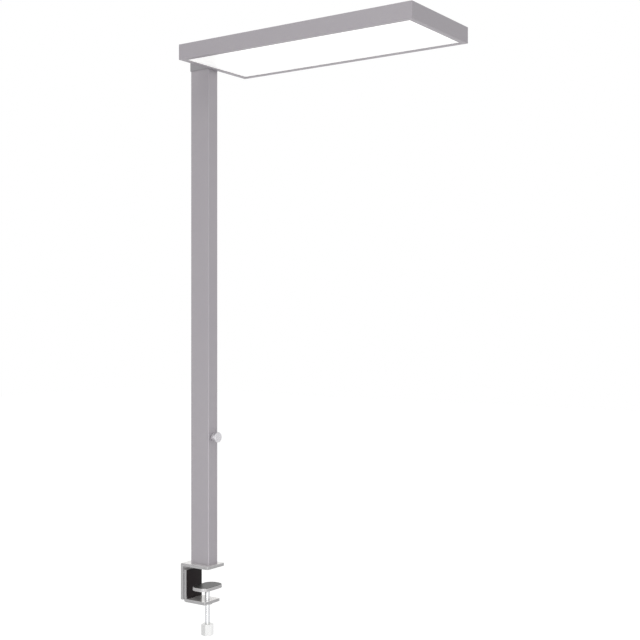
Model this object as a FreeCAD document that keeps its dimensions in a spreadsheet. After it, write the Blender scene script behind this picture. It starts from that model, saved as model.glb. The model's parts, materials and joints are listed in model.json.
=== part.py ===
import FreeCAD, Part
import math
import os
import re

import Sketcher

# A desk luminaire: a flat LED head on a tall rectangular mast, held to the desk's edge by a screw clamp.
# Millimetres. The origin is where the upper jaw's pad sits on the desk, on the mast's axis.
# +X runs out along the head, over the desk; +Z is up.

DIMENSIONS = (
    ("mast_depth", 56, "mast section along the head"),
    ("mast_width", 34, "mast section across the head"),
    ("mast_wall", 2.5, "wall of the mast's extrusion"),
    ("mast_corner", 2, "outer corner radius of the mast"),
    ("head_bottom", 1205.3, "desk top to the underside of the head"),
    ("head_height", 36, "thickness of the head"),
    ("head_length", 622, "head along X"),
    ("head_width", 246, "head along Y"),
    ("head_start", 28, "mast axis to the head's near end"),
    ("lip", 12, "visible border round the diffuser"),
    ("profile_wall", 2, "wall of the head's frame profiles"),
    ("cover_sheet", 1.5, "top cover sheet"),
    ("diffuser_sheet", 3, "opal sheet"),
    ("tray_height", 14, "depth of the white reflector tray"),
    ("seat_pad", 2.5, "rubber under the upper jaw"),
    ("jaw_steel", 7.5, "thickness of both jaw brackets"),
    ("jaw_back", 48.4, "mast axis to the back of the clamp"),
    ("jaw_front", 37.3, "mast axis to the front of the upper jaw"),
    ("upper_width", 62, "upper jaw along Y"),
    ("lower_width", 55.6, "lower jaw along Y"),
    ("lower_front", 25.8, "mast axis to the front of the lower jaw"),
    ("throat", 77.2, "desk top to the lower jaw's upper face"),
    ("leaf_gap", 0.4, "slip between the two bracket leaves"),
    ("desk", 42.5, "desk thickness that the screw is set to"),
    ("plate_depth", 50, "pressure plate along X"),
    ("plate_width", 77, "pressure plate along Y"),
    ("plate_corner", 21, "corner radius of the pressure plate"),
    ("spindle_x", 10, "mast axis to the clamp screw's axis"),
    ("spindle", 12, "clamp screw diameter"),
    ("grip_corners", 30.4, "turning knob across its corners"),
    ("grip_top", 136.2, "desk top down to the turning knob"),
    ("grip_height", 27, "height of the turning knob"),
    ("dimmer_level", 318, "desk top to the dimmer's axis"),
    ("dimmer_cap", 25, "dimmer cap diameter"),
    ("dimmer_stem", 18, "dimmer stem diameter"),
    ("dimmer_reach", 45, "mast axis to the dimmer's outer face"),
    ("push", 0.8, "travel of the dimmer's push switch"),
    ("inlet_level", 60, "desk top to the power inlet's axis"),
    ("run_gap", 0.06, "radial clearance of a turning fit"),
    ("slip_gap", 0.1, "clearance of a slip fit"),
)

MAST_BASE = "seat_pad + jaw_steel"
MAST_INSIDE_X = "mast_depth / 2 - mast_wall"
MAST_INSIDE_Y = "mast_width / 2 - mast_wall"
PLUNGER_BACK = "mast_depth / 2 - mast_wall - 6.8"
PLUNGER_FRONT = "mast_depth / 2 - mast_wall - 5.6"
HEAD_TOP = "head_bottom + head_height"
HEAD_MIDDLE = "head_bottom + head_height / 2"
HEAD_END = "head_start + head_length"
COVER_BOTTOM = "head_bottom + head_height - cover_sheet"
TRAY_BOTTOM = "head_bottom + profile_wall + diffuser_sheet"
TRAY_TOP = "head_bottom + profile_wall + diffuser_sheet + tray_height"
TRAY_SHEET = 1
TRAY_START = "head_start + 16"
TRAY_HALF_WIDTH = "head_width / 2 - 13"
LEDGE = 9
LEDGE_THICKNESS = 2
COVER_SCREW_INSET = 32
COVER_SCREW_EDGE = 5.5
COVER_SCREWS_PER_SIDE = 4
BLOCK_RIM = 1.5
FOOT_SCREW_X = 15
SET_SCREW_Y = 8
FOOT_SET_LEVEL = "seat_pad + jaw_steel + 20"
TOP_SET_LEVEL = "head_bottom - 22"
SET_SCREW = 5
HEAD_BOLT_Y = 12
HEAD_BOLT = 6
JAW_SCREW_Y = 15
JAW_SCREW_LEVEL = -38
JAW_SCREW = 8
JAW_DROP = 30
JAW_LIFT = 4
WASHER = 1.6
LINER = 1.5
LEAF_TOP = -6.2
OUTER_LEAF_END = "-throat - 1.5"
OUTER_BEND = 3
INNER_BEND = 3
LOWER_BEND = 5
INNER_LEAF_OUT = "jaw_steel + leaf_gap - jaw_back"
INNER_LEAF_IN = "2 * jaw_steel + leaf_gap - jaw_back"
PLATE_TOP = "-desk - 0.5"
PLATE_BOTTOM = "-desk - 8"
HUB_BOTTOM = "-desk - 13"
NECK_LEVEL = "-desk - 10.5"
STRIP_COUNT = 5
STRIP_PITCH = 44
CHIP_COUNT = 14
CHIP_PITCH = 40
DRIVER_START = 104
DRIVER_SCREWS_X = (DRIVER_START + 7, DRIVER_START + 173)
GRIP_TURN = -10.5
CABLE = 6
LEAD = 3

X_AXIS = FreeCAD.Vector(1, 0, 0)
Y_AXIS = FreeCAD.Vector(0, 1, 0)
Z_AXIS = FreeCAD.Vector(0, 0, 1)

doc = FreeCAD.newDocument("desk_luminaire")
sheet = doc.addObject("Spreadsheet::Sheet", "Dimensions")
for row, (alias, value, meaning) in enumerate(DIMENSIONS, 1):
    sheet.set(f"A{row}", meaning)
    sheet.set(f"B{row}", str(value))
    sheet.setAlias(f"B{row}", alias)
doc.recompute()

nodes = []


# ---- small helpers ----

def bound(expression):
    """The same expression with every dimension name tied to the sheet."""
    return re.sub(r"[a-z]\w*", r"Dimensions.\g<0>", str(expression))


def size(expression):
    """Value in millimetres of an expression over the dimension names."""
    return float(sheet.evalExpression(bound(expression)))


def new_body(label):
    body = doc.addObject("PartDesign::Body", label)
    body.Label = label
    nodes.append(body)
    return body


def origin_part(body, role):
    return next(item for item in body.Origin.OriginFeatures if item.Role == role)


def sketch_on(body, role, height="0"):
    """Empty sketch on one of the body's own planes, moved along that plane's normal."""
    sketch = body.newObject("Sketcher::SketchObject", "Sketch")
    sketch.AttachmentSupport = (origin_part(body, role), [""])
    sketch.MapMode = "FlatFace"
    sketch.setExpression("AttachmentOffset.Base.z", bound(height))
    return sketch


def pin_point(sketch, geometry, point, x, y):
    """Tie one point of a sketch to the sheet by its distances from the origin."""
    for kind, axis, expression in (("DistanceX", -2, x), ("DistanceY", -1, y)):
        value = size(expression)
        if abs(value) < 1e-9:
            sketch.addConstraint(Sketcher.Constraint("PointOnObject", geometry, point, axis))
            continue
        number = sketch.addConstraint(Sketcher.Constraint(kind, -1, 1, geometry, point, value))
        sketch.setExpression(f"Constraints[{number}]", bound(expression))


def polygon(sketch, corners):
    """Closed outline through corners given as pairs of expressions."""
    first = sketch.GeometryCount
    count = len(corners)
    places = [FreeCAD.Vector(size(x), size(y), 0) for x, y in corners]
    for index, place in enumerate(places):
        sketch.addGeometry(Part.LineSegment(place, places[(index + 1) % count]), False)
    for index, (x, y) in enumerate(corners):
        following = first + (index + 1) % count
        sketch.addConstraint(Sketcher.Constraint("Coincident", first + index, 2, following, 1))
        pin_point(sketch, first + index, 1, x, y)


def rectangle(sketch, left, right, bottom, top):
    polygon(sketch, ((left, bottom), (right, bottom), (right, top), (left, top)))


def hexagon(sketch, corner_radius):
    """Six-sided outline about the origin, with one corner on the sketch's X axis."""
    corners = []
    for index in range(6):
        angle = math.radians(60 * index)
        x = f"({corner_radius}) * ({math.cos(angle):.9f})"
        y = f"({corner_radius}) * ({math.sin(angle):.9f})"
        corners.append((x, y))
    polygon(sketch, corners)


def circle(sketch, x, y, diameter):
    centre = FreeCAD.Vector(size(x), size(y), 0)
    geometry = sketch.addGeometry(Part.Circle(centre, Z_AXIS, size(diameter) / 2), False)
    pin_point(sketch, geometry, 3, x, y)
    number = sketch.addConstraint(Sketcher.Constraint("Diameter", geometry, size(diameter)))
    sketch.setExpression(f"Constraints[{number}]", bound(diameter))


def slot(sketch, x, low, high, width):
    """Closed upright slot: straight sides and half-round ends about (x, low) and (x, high)."""
    radius = size(width) / 2
    upper = FreeCAD.Vector(size(x), size(high), 0)
    lower = FreeCAD.Vector(size(x), size(low), 0)
    aside = FreeCAD.Vector(radius, 0, 0)
    first = sketch.GeometryCount
    sketch.addGeometry(Part.ArcOfCircle(Part.Circle(upper, Z_AXIS, radius), 0, math.pi), False)
    sketch.addGeometry(Part.LineSegment(upper - aside, lower - aside), False)
    sketch.addGeometry(Part.ArcOfCircle(Part.Circle(lower, Z_AXIS, radius), math.pi, 2 * math.pi), False)
    sketch.addGeometry(Part.LineSegment(lower + aside, upper + aside), False)
    for index in range(4):
        following = first + (index + 1) % 4
        sketch.addConstraint(Sketcher.Constraint("Tangent", first + index, 2, following, 1))
    sketch.addConstraint(Sketcher.Constraint("Equal", first, first + 2))
    pin_point(sketch, first, 3, x, high)
    pin_point(sketch, first + 2, 3, x, low)
    number = sketch.addConstraint(Sketcher.Constraint("Radius", first, radius))
    sketch.setExpression(f"Constraints[{number}]", bound(f"({width}) / 2"))


def rounded_rectangle(sketch, half_x, half_y, corner):
    """Closed outline centred on the origin, with round corners tangent to its sides."""
    radius = size(corner)
    reach_x = size(half_x) - radius
    reach_y = size(half_y) - radius
    signs = ((1, 1), (-1, 1), (-1, -1), (1, -1))
    first = sketch.GeometryCount
    arcs = []
    for index, (sign_x, sign_y) in enumerate(signs):
        centre = FreeCAD.Vector(sign_x * reach_x, sign_y * reach_y, 0)
        start = index * math.pi / 2
        arcs.append(Part.ArcOfCircle(Part.Circle(centre, Z_AXIS, radius), start, start + math.pi / 2))
    for index, arc in enumerate(arcs):
        sketch.addGeometry(arc, False)
        sketch.addGeometry(Part.LineSegment(arc.EndPoint, arcs[(index + 1) % 4].StartPoint), False)
    for index in range(8):
        following = first + (index + 1) % 8
        sketch.addConstraint(Sketcher.Constraint("Tangent", first + index, 2, following, 1))
    for index, (sign_x, sign_y) in enumerate(signs):
        if index:
            sketch.addConstraint(Sketcher.Constraint("Equal", first, first + 2 * index))
        pin_point(sketch, first + 2 * index, 3,
                  f"{sign_x} * (({half_x}) - ({corner}))", f"{sign_y} * (({half_y}) - ({corner}))")
    number = sketch.addConstraint(Sketcher.Constraint("Radius", first, radius))
    sketch.setExpression(f"Constraints[{number}]", bound(corner))


def pad(body, sketch, length, middle=False, reverse=False):
    feature = body.newObject("PartDesign::Pad", "Pad")
    feature.Profile = sketch
    feature.setExpression("Length", bound(length))
    feature.SideType = "Symmetric" if middle else "One side"
    feature.Reversed = reverse
    doc.recompute()
    return feature


def pocket(body, sketch, length=None, middle=False, reverse=False):
    """Cut against the sketch's normal (or along it, if reversed); no length cuts right through."""
    before = body.Shape.Volume
    feature = body.newObject("PartDesign::Pocket", "Pocket")
    feature.Profile = sketch
    feature.SideType = "Symmetric" if middle else "One side"
    feature.Reversed = reverse
    if length is None:
        feature.Type = "ThroughAll"
    else:
        feature.setExpression("Length", bound(length))
    doc.recompute()
    if body.Shape.Volume > before - 1e-3:
        raise RuntimeError(f"{body.Label}: {feature.Name} cuts nothing")
    return feature


def sunk_holes(body, sketch, diameter, head_diameter, reverse=False):
    """Through holes with a 90 degree countersink at the sketch's own plane."""
    doc.recompute()
    before = body.Shape.Volume
    hole = body.newObject("PartDesign::Hole", "Hole")
    hole.Profile = sketch
    hole.Reversed = reverse
    hole.DepthType = "ThroughAll"
    hole.Diameter = diameter
    hole.HoleCutType = "Countersink"
    hole.HoleCutCustomValues = True
    hole.HoleCutDiameter = head_diameter
    hole.HoleCutCountersinkAngle = 90
    doc.recompute()
    if body.Shape.Volume > before - 1e-3:
        raise RuntimeError(f"{body.Label}: {hole.Name} cuts nothing")


def turned(body, corners):
    """Solid turned about the body's Z axis from (radius, height) corners."""
    outline = sketch_on(body, "XZ_Plane")
    polygon(outline, corners)
    feature = body.newObject("PartDesign::Revolution", "Revolution")
    feature.Profile = outline
    feature.ReferenceAxis = (outline, ["V_Axis"])
    feature.Angle = 360
    doc.recompute()
    return feature


def row_of(body, features, role, length, count, second=None):
    """Repeat features along one of the body's axes, or along two for a grid."""
    pattern = body.newObject("PartDesign::LinearPattern", "Row")
    pattern.Originals = features
    pattern.Direction = (origin_part(body, role), [""])
    pattern.setExpression("Length", bound(length))
    pattern.Occurrences = count
    if second:
        role, length, count = second
        pattern.Direction2 = (origin_part(body, role), [""])
        pattern.setExpression("Length2", bound(length))
        pattern.Occurrences2 = count
    body.Tip = pattern
    doc.recompute()


def mirrored(body, features, role):
    mirror = body.newObject("PartDesign::Mirrored", "Mirror")
    mirror.Originals = features
    mirror.MirrorPlane = (origin_part(body, role), [""])
    body.Tip = mirror
    doc.recompute()


def along(direction, **place):
    """Test for straight edges parallel to a direction, at given mid-point coordinates."""
    def chosen(edge):
        if edge.Curve.TypeId != "Part::GeomLine":
            return False
        if abs(abs(edge.tangentAt(edge.FirstParameter).dot(direction)) - 1) > 1e-6:
            return False
        middle = edge.CenterOfMass
        return all(abs(abs(getattr(middle, axis)) - abs(size(value))) < 0.01
                   for axis, value in place.items())
    return chosen


def at_height(*levels):
    """Test for edges that lie wholly at one of the given heights."""
    def chosen(edge):
        box = edge.BoundBox
        return any(max(abs(box.ZMin - size(level)), abs(box.ZMax - size(level))) < 0.01
                   for level in levels)
    return chosen


def soften(body, kind, amount, chosen):
    """Fillet or Chamfer every edge of the body so far that passes the test."""
    doc.recompute()
    base = body.Tip
    names = [f"Edge{index}" for index, edge in enumerate(base.Shape.Edges, 1) if chosen(edge)]
    if not names:
        raise RuntimeError(f"{body.Label}: no edge to soften")
    feature = body.newObject(f"PartDesign::{kind}", kind)
    feature.Base = (base, names)
    feature.setExpression("Radius" if kind == "Fillet" else "Size", bound(amount))
    doc.recompute()


def place(body, x="0", y="0", z="0", axis=Z_AXIS, angle=0):
    """Put a body's own origin at a point, turned about one axis."""
    body.Placement = FreeCAD.Placement(FreeCAD.Vector(size(x), size(y), size(z)),
                                       FreeCAD.Rotation(axis, angle))
    for name, expression in (("x", x), ("y", y), ("z", z)):
        body.setExpression(f"Placement.Base.{name}", bound(expression))


def block(label, left, right, front, back, bottom, height):
    """Plain rectangular piece as a body."""
    body = new_body(label)
    outline = sketch_on(body, "XY_Plane", bottom)
    rectangle(outline, left, right, front, back)
    feature = pad(body, outline, height)
    return body, feature


def tube_along(label, corners, radius, diameter):
    """Round cable whose straight runs are joined by tangent arcs."""
    points = [FreeCAD.Vector(*corner) for corner in corners]
    edges = []
    start = points[0]
    for before, corner, after in zip(points, points[1:], points[2:]):
        back = (before - corner).normalize()
        ahead = (after - corner).normalize()
        half_turn = (math.pi - back.getAngle(ahead)) / 2
        cut = radius * math.tan(half_turn)
        enter = corner + back * cut
        leave = corner + ahead * cut
        inward = (back + ahead).normalize()
        middle = corner + inward * (radius / math.cos(half_turn) - radius)
        edges += [Part.LineSegment(start, enter).toShape(), Part.Arc(enter, middle, leave).toShape()]
        start = leave
    edges.append(Part.LineSegment(start, points[-1]).toShape())
    path = Part.Wire(edges)
    section = Part.Wire(Part.Circle(points[0], points[1] - points[0], diameter / 2).toShape())
    cable = doc.addObject("Part::Feature", label)
    cable.Label = label
    cable.Shape = path.makePipeShell([section], True, False)
    expected = math.pi * diameter ** 2 / 4 * path.Length
    print(label, "volume over section times length:", round(cable.Shape.Volume / expected, 4))
    nodes.append(cable)


def socket_screw(label, shank, length, head, head_height, sunk, key):
    """Screw along Z with its head's outer face at the origin and a hexagon socket in it."""
    body = new_body(label)
    radius = shank / 2
    underside = ((radius, -(head - shank) / 2),) if sunk else ((head / 2, -head_height), (radius, -head_height))
    corners = ((0, 0), (head / 2, 0)) + underside + ((radius, -length), (0, -length))
    shaft = turned(body, corners)
    socket = sketch_on(body, "XY_Plane")
    hexagon(socket, key / math.sqrt(3))
    recess = pocket(body, socket, min(key * 0.6, head_height))
    return body, [shaft, recess]


# ---- upper jaw and mast foot ----

def upper_jaw_bracket():
    """Flat steel bent into an L: the mast stands on its plate, its leaf runs down behind the desk."""
    body = new_body("upper_jaw_bracket")
    outline = sketch_on(body, "XZ_Plane")
    polygon(outline, (
        ("-jaw_back", MAST_BASE), ("jaw_front", MAST_BASE), ("jaw_front", "seat_pad"),
        ("jaw_steel - jaw_back", "seat_pad"), ("jaw_steel - jaw_back", OUTER_LEAF_END),
        ("-jaw_back", OUTER_LEAF_END)))
    pad(body, outline, "upper_width", middle=True)
    soften(body, "Fillet", OUTER_BEND, along(Y_AXIS, x="jaw_back", z=MAST_BASE))
    soften(body, "Fillet", INNER_BEND, along(Y_AXIS, x="jaw_back - jaw_steel", z="seat_pad"))
    screw_holes = sketch_on(body, "XY_Plane", "seat_pad")
    for x in (-FOOT_SCREW_X, FOOT_SCREW_X):
        circle(screw_holes, x, 0, 8.4)
    sunk_holes(body, screw_holes, 8.4, 16.4, reverse=True)
    slots = sketch_on(body, "YZ_Plane")
    for y in (-JAW_SCREW_Y, JAW_SCREW_Y):
        slot(slots, y, JAW_SCREW_LEVEL - JAW_DROP, JAW_SCREW_LEVEL + JAW_LIFT, JAW_SCREW + 1)
    pocket(body, slots, middle=True)
    soften(body, "Fillet", 1.5, along(Z_AXIS, x="jaw_front"))
    soften(body, "Chamfer", 0.4, at_height(MAST_BASE))


def upper_jaw_pad():
    body, _ = block("upper_jaw_pad", -31, 28, -21, 21, 0, "seat_pad")
    soften(body, "Fillet", 4, along(Z_AXIS))


def mast_tube():
    """Extruded rectangular tube, with a hole for the dimmer in front and four holes and an inlet behind."""
    body = new_body("mast_tube")
    section = sketch_on(body, "XY_Plane", MAST_BASE)
    rectangle(section, "-mast_depth / 2", "mast_depth / 2", "-mast_width / 2", "mast_width / 2")
    rectangle(section, f"-({MAST_INSIDE_X})", MAST_INSIDE_X, f"-({MAST_INSIDE_Y})", MAST_INSIDE_Y)
    pad(body, section, f"head_bottom - ({MAST_BASE})")
    soften(body, "Fillet", "mast_corner", along(Z_AXIS, x="mast_depth / 2"))
    soften(body, "Fillet", "mast_corner / 2", along(Z_AXIS, x=MAST_INSIDE_X))
    front = sketch_on(body, "YZ_Plane", "mast_depth / 2")
    circle(front, 0, "dimmer_level", 9.2)
    pocket(body, front, "mast_wall + 1")
    rear = sketch_on(body, "YZ_Plane", "-mast_depth / 2")
    circle(rear, 0, "inlet_level", 12.2)
    for level in (FOOT_SET_LEVEL, TOP_SET_LEVEL):
        for y in (-SET_SCREW_Y, SET_SCREW_Y):
            circle(rear, y, level, SET_SCREW + 0.3)
    pocket(body, rear, "mast_wall + 1", reverse=True)


def set_screw_holes(body, level):
    holes = sketch_on(body, "YZ_Plane", f"slip_gap - ({MAST_INSIDE_X})")
    for y in (-SET_SCREW_Y, SET_SCREW_Y):
        circle(holes, y, level, SET_SCREW)
    pocket(body, holes, 12.5, reverse=True)


def mast_foot_plug():
    """Solid block in the foot of the mast that the foot screws pull down onto the jaw."""
    body, _ = block("mast_foot_plug", f"slip_gap - ({MAST_INSIDE_X})", f"{MAST_INSIDE_X} - slip_gap",
                    f"slip_gap - ({MAST_INSIDE_Y})", f"{MAST_INSIDE_Y} - slip_gap", MAST_BASE, 40)
    soften(body, "Fillet", 2, along(Z_AXIS))
    tapped = sketch_on(body, "XY_Plane", MAST_BASE)
    for x in (-FOOT_SCREW_X, FOOT_SCREW_X):
        circle(tapped, x, 0, 8)
    pocket(body, tapped, 26, reverse=True)
    set_screw_holes(body, FOOT_SET_LEVEL)


def mast_foot_screws():
    body, features = socket_screw("mast_foot_screws", 8, 30, 16, 4, True, 5)
    row_of(body, features, "X_Axis", 2 * FOOT_SCREW_X, 2)
    place(body, x=FOOT_SCREW_X, z="seat_pad", axis=Y_AXIS, angle=180)


def set_screws(label, level):
    """Pair of headless screws through the mast's rear wall, sunk just below its face."""
    body = new_body(label)
    shank = turned(body, ((0, 0), (SET_SCREW / 2, 0), (SET_SCREW / 2, -14), (0, -14)))
    socket = sketch_on(body, "XY_Plane")
    hexagon(socket, 2.5 / math.sqrt(3))
    recess = pocket(body, socket, 2.5)
    row_of(body, [shank, recess], "Y_Axis", 2 * SET_SCREW_Y, 2)
    place(body, x="0.3 - mast_depth / 2", y=-SET_SCREW_Y, z=level, axis=Y_AXIS, angle=-90)


# ---- power inlet and dimmer ----

def power_inlet():
    """Round low-voltage socket in the mast's rear wall, its mouth facing back."""
    body = new_body("power_inlet")
    turned(body, ((0, 12), (6, 12), (6, "mast_depth / 2"), (8, "mast_depth / 2"),
                  (8, "mast_depth / 2 + 2"), (2.8, "mast_depth / 2 + 2"), (2.8, 20), (0, 20)))
    place(body, z="inlet_level", axis=Y_AXIS, angle=-90)


def inlet_pin():
    body = new_body("inlet_pin")
    turned(body, ((0, 20), (1, 20), (1, "mast_depth / 2 + 0.4"), (0.6, "mast_depth / 2 + 0.8"),
                  (0, "mast_depth / 2 + 0.8")))
    place(body, z="inlet_level", axis=Y_AXIS, angle=-90)


def hex_nut(label, flats, bore, start, thickness, level, angle):
    """Nut or ring about an X-wise axis; start is measured outwards from the mast's axis."""
    body = new_body(label)
    outline = sketch_on(body, "XY_Plane", start)
    hexagon(outline, flats / math.sqrt(3))
    circle(outline, 0, 0, bore)
    pad(body, outline, thickness)
    place(body, z=level, axis=Y_AXIS, angle=angle)


def encoder_body():
    """Push-and-turn control: a square housing inside the mast and a threaded neck through its wall."""
    body = new_body("encoder_body")
    housing = sketch_on(body, "YZ_Plane", f"{MAST_INSIDE_X} - 8")
    rectangle(housing, -7, 7, -7, 7)
    pad(body, housing, 8)
    neck = sketch_on(body, "YZ_Plane", MAST_INSIDE_X)
    circle(neck, 0, 0, 9)
    pad(body, neck, "mast_wall + 4")
    bore = sketch_on(body, "YZ_Plane")
    circle(bore, 0, 0, "6 + 2 * run_gap")
    pocket(body, bore, middle=True)
    place(body, z="dimmer_level")


def encoder_board():
    body = new_body("encoder_board")
    outline = sketch_on(body, "YZ_Plane", f"{MAST_INSIDE_X} - 9.6")
    rectangle(outline, -10, 10, -12, 12)
    pad(body, outline, 1.6)
    place(body, z="dimmer_level")


def encoder_washer():
    body = new_body("encoder_washer")
    outline = sketch_on(body, "YZ_Plane", "mast_depth / 2")
    circle(outline, 0, 0, 14)
    circle(outline, 0, 0, 9.2)
    pad(body, outline, 0.5)
    place(body, z="dimmer_level")


def switch_plunger():
    """Small plunger behind the shaft that works the push contact."""
    body = new_body("switch_plunger")
    turned(body, ((0, PLUNGER_BACK), (2.5, PLUNGER_BACK), (2.5, PLUNGER_FRONT), (0, PLUNGER_FRONT)))
    place(body, z="dimmer_level", axis=Y_AXIS, angle=90)


def encoder_shaft():
    body = new_body("encoder_shaft")
    back = f"{PLUNGER_FRONT} + 0.1"
    turned(body, ((0, back), (3, back), (3, 41.5), (2.5, 42), (0, 42)))
    place(body, z="dimmer_level", axis=Y_AXIS, angle=90)


def dimmer_knob():
    """Turned aluminium knob: a hollow stem over the nut, and a wider flat cap."""
    body = new_body("dimmer_knob")
    stem = "dimmer_stem / 2"
    cap = "dimmer_cap / 2"
    turned(body, (
        (0, 42), (3, 42), (3, 34.8), (7.6, 34.8), (7.6, "mast_depth / 2 + push + 0.5"),
        (stem, "mast_depth / 2 + push + 0.5"), (stem, "dimmer_reach - 3.5"),
        (f"{cap} - 0.6", "dimmer_reach - 3.5"), (cap, "dimmer_reach - 2.9"),
        (cap, "dimmer_reach - 0.6"), (f"{cap} - 0.6", "dimmer_reach"), (0, "dimmer_reach")))
    hole = sketch_on(body, "YZ_Plane")
    circle(hole, 0, 38, 3)
    pocket(body, hole, "dimmer_stem / 2 + 1", reverse=True)
    place(body, z="dimmer_level", axis=Y_AXIS, angle=90)


def knob_set_screw():
    body = new_body("knob_set_screw")
    turned(body, ((0, -3), (1.5, -3), (1.5, -8.6), (0, -8.6)))
    socket = sketch_on(body, "XY_Plane", -8.6)
    hexagon(socket, 1.5 / math.sqrt(3))
    pocket(body, socket, 1.5, reverse=True)
    place(body, x=38, z="dimmer_level")


# ---- lower jaw, pressure plate and clamp screw ----

def lower_jaw_bracket():
    """Second L of flat steel: its leaf slides in front of the upper one, its plate carries the screw."""
    body = new_body("lower_jaw_bracket")
    outline = sketch_on(body, "XZ_Plane")
    polygon(outline, (
        (INNER_LEAF_OUT, LEAF_TOP), (INNER_LEAF_IN, LEAF_TOP), (INNER_LEAF_IN, "-throat"),
        ("lower_front", "-throat"), ("lower_front", "-throat - jaw_steel"),
        (INNER_LEAF_OUT, "-throat - jaw_steel")))
    pad(body, outline, "lower_width", middle=True)
    soften(body, "Fillet", LOWER_BEND, along(Y_AXIS, x=INNER_LEAF_OUT, z="throat + jaw_steel"))
    bush_hole = sketch_on(body, "XY_Plane")
    circle(bush_hole, "spindle_x", 0, 20)
    pocket(body, bush_hole, middle=True)
    tapped = sketch_on(body, "YZ_Plane")
    for y in (-JAW_SCREW_Y, JAW_SCREW_Y):
        circle(tapped, y, JAW_SCREW_LEVEL, JAW_SCREW)
    pocket(body, tapped, middle=True)
    soften(body, "Fillet", 1.5, along(Z_AXIS, x="lower_front"))
    soften(body, "Chamfer", 0.4, at_height("-throat", "-throat - jaw_steel"))


def jaw_liner():
    """Black sheet on the inner leaf that the desk's edge stops against."""
    block("jaw_liner", INNER_LEAF_IN, f"{INNER_LEAF_IN} + {LINER}", "-lower_width / 2", "lower_width / 2",
          "-throat", f"throat + ({LEAF_TOP}) - 0.5")


def jaw_washers():
    body = new_body("jaw_washers")
    outline = sketch_on(body, "YZ_Plane", f"-jaw_back - 0.3 - {WASHER}")
    for y in (-JAW_SCREW_Y, JAW_SCREW_Y):
        circle(outline, y, JAW_SCREW_LEVEL, 17)
        circle(outline, y, JAW_SCREW_LEVEL, JAW_SCREW + 0.4)
    pad(body, outline, WASHER)


def jaw_screws():
    """Button-head screws through the slots of the outer leaf into the tapped inner leaf."""
    body, features = socket_screw("jaw_screws", JAW_SCREW, 21.6, 14, 4.4, False, 5)
    row_of(body, features, "Y_Axis", 2 * JAW_SCREW_Y, 2)
    soften(body, "Fillet", 1.5, lambda edge: edge.Curve.TypeId == "Part::GeomCircle"
           and abs(edge.Curve.Radius - 7) < 0.01 and abs(edge.CenterOfMass.z) < 0.01)
    place(body, x=f"-jaw_back - 0.3 - {WASHER} - 4.4", y=-JAW_SCREW_Y, z=JAW_SCREW_LEVEL,
          axis=Y_AXIS, angle=-90)


def spindle_bush():
    """Threaded steel bush pressed into the lower jaw from below."""
    body = new_body("spindle_bush")
    bore = "spindle / 2 + run_gap"
    plate_bottom = "-throat - jaw_steel"
    turned(body, ((bore, "-throat"), (10, "-throat"), (10, plate_bottom), (12, plate_bottom),
                  (12, f"{plate_bottom} - 3"), (bore, f"{plate_bottom} - 3")))
    place(body, x="spindle_x")


def pressure_plate():
    """Rounded plate under the desk, with a shallow seat for its pad and a hub for the screw's tip."""
    body = new_body("pressure_plate")
    plate = sketch_on(body, "XY_Plane", PLATE_BOTTOM)
    rounded_rectangle(plate, "plate_depth / 2", "plate_width / 2", "plate_corner")
    pad(body, plate, f"{PLATE_TOP} - ({PLATE_BOTTOM})")
    soften(body, "Chamfer", 0.5, at_height(PLATE_TOP, PLATE_BOTTOM))
    seat = sketch_on(body, "XY_Plane", PLATE_TOP)
    rounded_rectangle(seat, "plate_depth / 2 - 1.5", "plate_width / 2 - 1.5", "plate_corner - 1.5")
    pocket(body, seat, 1.5)
    hub = sketch_on(body, "XY_Plane", PLATE_BOTTOM)
    circle(hub, 0, 0, 22)
    pad(body, hub, f"{PLATE_BOTTOM} - ({HUB_BOTTOM})", reverse=True)
    bore = sketch_on(body, "XY_Plane", HUB_BOTTOM)
    circle(bore, 0, 0, "spindle + 2 * run_gap")
    pocket(body, bore, 9, reverse=True)
    screw_holes = sketch_on(body, "XZ_Plane")
    circle(screw_holes, 0, NECK_LEVEL, 4)
    pocket(body, screw_holes, middle=True)
    place(body, x="spindle_x")


def pressure_pad():
    """Dark rubber sheet let into the pressure plate."""
    body = new_body("pressure_pad")
    outline = sketch_on(body, "XY_Plane", "-desk - 2")
    rounded_rectangle(outline, "plate_depth / 2 - 1.6", "plate_width / 2 - 1.6", "plate_corner - 1.6")
    pad(body, outline, 2)
    place(body, x="spindle_x")


def plate_set_screws():
    """Dog-point screws in the hub; their tips run in the screw's neck groove and keep it in."""
    body = new_body("plate_set_screws")
    screw = turned(body, ((0, 5.35), (1.25, 5.35), (1.25, 7), (2, 7), (2, 10.6), (0, 10.6)))
    mirrored(body, [screw], "XY_Plane")
    place(body, x="spindle_x", z=NECK_LEVEL, axis=X_AXIS, angle=90)


def clamp_spindle():
    body = new_body("clamp_spindle")
    outside = "spindle / 2"
    tip = "-desk - 4.3"
    shoulder = "3.5 - grip_top"
    turned(body, (
        (0, tip), (5.2, tip), (outside, f"{tip} - 0.8"), (outside, f"{NECK_LEVEL} + 1.7"),
        (5, f"{NECK_LEVEL} + 1.7"), (5, f"{NECK_LEVEL} - 1.7"), (outside, f"{NECK_LEVEL} - 1.7"),
        (outside, shoulder), (5, shoulder), (5, "-grip_top - 20"), (2.5, "-grip_top - 20"),
        (2.5, "-grip_top - 10"), (0, "-grip_top - 10")))
    place(body, x="spindle_x")


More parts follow.
